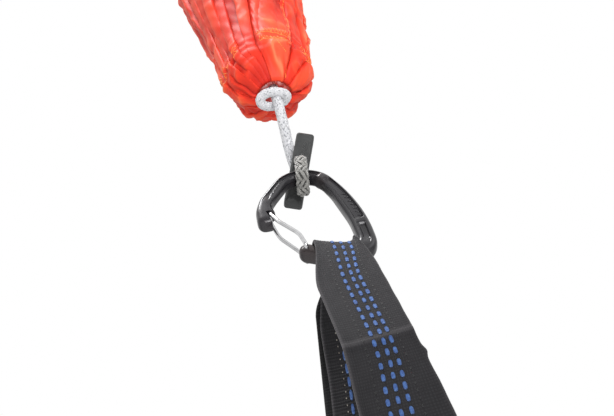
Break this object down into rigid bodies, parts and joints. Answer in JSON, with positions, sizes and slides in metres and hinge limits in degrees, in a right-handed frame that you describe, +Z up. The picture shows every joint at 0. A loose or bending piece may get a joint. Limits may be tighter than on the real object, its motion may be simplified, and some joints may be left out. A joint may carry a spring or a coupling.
{
  "type": "hammock suspension end",
  "caption": "Gathered hammock end on a cord with a toggle, a wire-gate carabiner and the doubled head of its webbing strap.",
  "frame": {"origin": "centre of the hammock fabric's finished top edge", "axes": "+Z up the load line from the strap to the hammock, +X towards the carabiner's spine, -Y towards the strap's front leg"},
  "size_m": [0.095, 0.095, 0.4418],
  "materials": {
    "hammock_fabric": "thin glossy ripstop",
    "seam_thread": "thread",
    "white_cord": "braided",
    "grey_rope": "braided",
    "toggle": "satin",
    "anodised": "black anodised",
    "wire": "polished",
    "webbing": "woven",
    "blue_thread": "thread",
    "dark_thread": "thread"
  },
  "bodies": {
    "hammock_end": {"hammock_fabric": "hammock_fabric", "channel_hem": "hammock_fabric", "top_hem": "hammock_fabric", "channel_seam_upper": "seam_thread", "channel_seam_lower": "seam_thread", "side_hem_front": "hammock_fabric", "side_hem_spine_side": "hammock_fabric", "channel_cord": "white_cord"},
    "eye": {"cord_eye": "white_cord"},
    "cord": {"hanging_cord": "white_cord", "rope_eye": "grey_rope"},
    "toggle": {"toggle_bar": "toggle"},
    "carabiner": {"carabiner_body": "anodised"},
    "gate": {"wire_gate": "wire"},
    "strap": {"strap_webbing": "webbing", "backing_webbing": "webbing", "tracer_row_left": "blue_thread", "tracer_row_middle": "blue_thread", "tracer_row_right": "blue_thread", "back_tracer_left": "blue_thread", "back_tracer_middle": "blue_thread", "back_tracer_right": "blue_thread", "dark_row_left": "dark_thread", "dark_row_right": "dark_thread", "bartack_thread": "dark_thread"}
  },
  "joints": [
    {"name": "eye_tilt", "type": "hinge", "parent": "hammock_end", "child": "eye", "pos_m": [0, -0.0024, -0.1715], "axis": [1, 0, 0], "range_deg": [-8, 8]},
    {"name": "cord_turn", "type": "hinge", "parent": "eye", "child": "cord", "pos_m": [0.0006, -0.0024, -0.1715], "axis": [0, 0, 1], "range_deg": [-60, 60]},
    {"name": "toggle_turn", "type": "hinge", "parent": "cord", "child": "toggle", "pos_m": [0.0027, 0.0045, -0.2286], "axis": [0.0351, -0.923, -0.3831], "range_deg": [-25, 25]},
    {"name": "carabiner_rock", "type": "hinge", "parent": "cord", "child": "carabiner", "pos_m": [-0.001, 0, -0.2608], "axis": [0, 1, 0], "range_deg": [-25, 25]},
    {"name": "gate_swing", "type": "hinge", "parent": "carabiner", "child": "gate", "pos_m": [-0.0079, 0, -0.303], "axis": [0, 1, 0], "range_deg": [0, 30], "stiffness_Nm_per_rad": 0.06, "springref_deg": -11.46},
    {"name": "strap_swing", "type": "hinge", "parent": "carabiner", "child": "strap", "pos_m": [0.0042, 0, -0.3095], "axis": [1, 0, 0], "range_deg": [-15, 15]}
  ]
}
